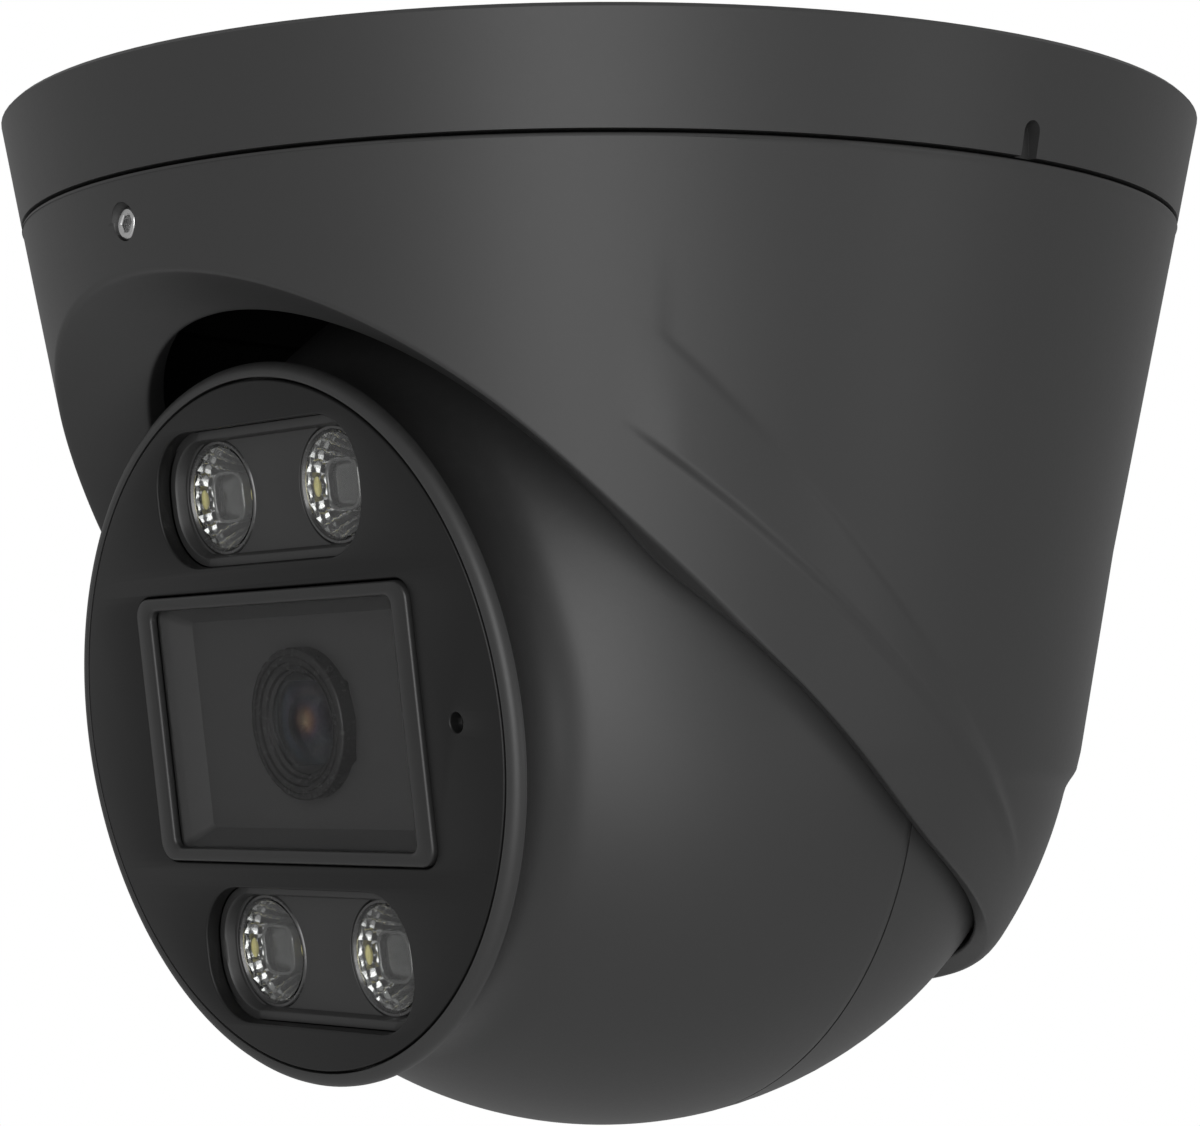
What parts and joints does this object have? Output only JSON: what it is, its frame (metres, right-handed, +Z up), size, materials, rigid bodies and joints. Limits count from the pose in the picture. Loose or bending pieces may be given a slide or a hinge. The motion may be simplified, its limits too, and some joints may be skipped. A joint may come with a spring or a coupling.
{
  "type": "security camera",
  "caption": "Ceiling turret security camera: round base, conical housing with a slanted opening, and a ball head with lens window and spotlights.",
  "frame": {"origin": "centre of the ceiling mounting face, on the axis of the base ring", "axes": "+Z up into the ceiling along the pan axis, -Y to the front where the lens looks at pan zero, +X to the camera's left"},
  "size_m": [0.12, 0.12, 0.0994],
  "materials": {
    "housing_plastic": "fine satin texture",
    "shell_plastic": "fine satin texture",
    "face_plastic": "smooth matt",
    "insert_plastic": "matt",
    "clear_glass": "coated",
    "tinted_glass": "coated",
    "clear_optic": "clear moulded",
    "light_die": "phosphor",
    "seal_rubber": "matt",
    "board_laminate": "satin solder mask",
    "sensor_glass": "polished",
    "heat_aluminium": "cast",
    "lens_metal": "black anodised",
    "stainless": "bright"
  },
  "bodies": {
    "base": {"base_ring": "housing_plastic", "ceiling_gasket": "seal_rubber", "base_seal": "seal_rubber", "cable_grommet": "seal_rubber"},
    "turret": {"turret_housing": "housing_plastic", "pivot_pins": "stainless"},
    "set_screw": {"set_screw": "stainless"},
    "tilt_bracket": {"tilt_bracket": "stainless"},
    "head": {"rear_shell": "shell_plastic", "shell_seal": "seal_rubber", "shell_screws": "stainless", "wave_washer": "stainless", "hub_nut": "heat_aluminium", "rear_gland": "seal_rubber", "front_shell": "shell_plastic", "faceplate": "face_plastic", "window_frame": "face_plastic", "window_glass": "clear_glass", "lens_hood": "face_plastic", "microphone": "stainless", "mic_gasket": "seal_rubber", "light_holder_upper": "insert_plastic", "light_holder_lower": "insert_plastic", "light_board_upper": "board_laminate", "light_board_lower": "board_laminate", "light_optics": "clear_optic", "light_emitters": "light_die", "lens_barrel": "lens_metal", "front_element": "clear_glass", "rear_element": "clear_glass", "lens_holder": "insert_plastic", "filter_housing": "insert_plastic", "filter_coil": "insert_plastic", "image_sensor": "sensor_glass", "main_board": "board_laminate", "thermal_pad": "seal_rubber", "heat_sink": "heat_aluminium", "board_screws": "stainless"},
    "filter_slider": {"filter_slider": "insert_plastic", "cut_filter": "tinted_glass", "clear_filter": "clear_glass"}
  },
  "joints": [
    {"name": "pan", "type": "hinge", "parent": "base", "child": "turret", "pos_m": [0, 0, -0.05477], "axis": [0, 0, 1], "range_deg": [-180, 180]},
    {"name": "screw_release", "type": "slide", "parent": "turret", "child": "set_screw", "axis": [0, -1, 0], "range_m": [0, 0.0025]},
    {"name": "tilt", "type": "hinge", "parent": "turret", "child": "tilt_bracket", "pos_m": [0, 0, -0.05477], "axis": [1, 0, 0], "range_deg": [-7.5, 62]},
    {"name": "roll", "type": "hinge", "parent": "tilt_bracket", "child": "head", "pos_m": [0, 0, -0.05477], "axis": [0, -0.9907, -0.1357], "range_deg": [-180, 180]},
    {"name": "filter_slide", "type": "slide", "parent": "head", "child": "filter_slider", "axis": [1, 0, 0], "range_m": [0, 0.0065]}
  ]
}
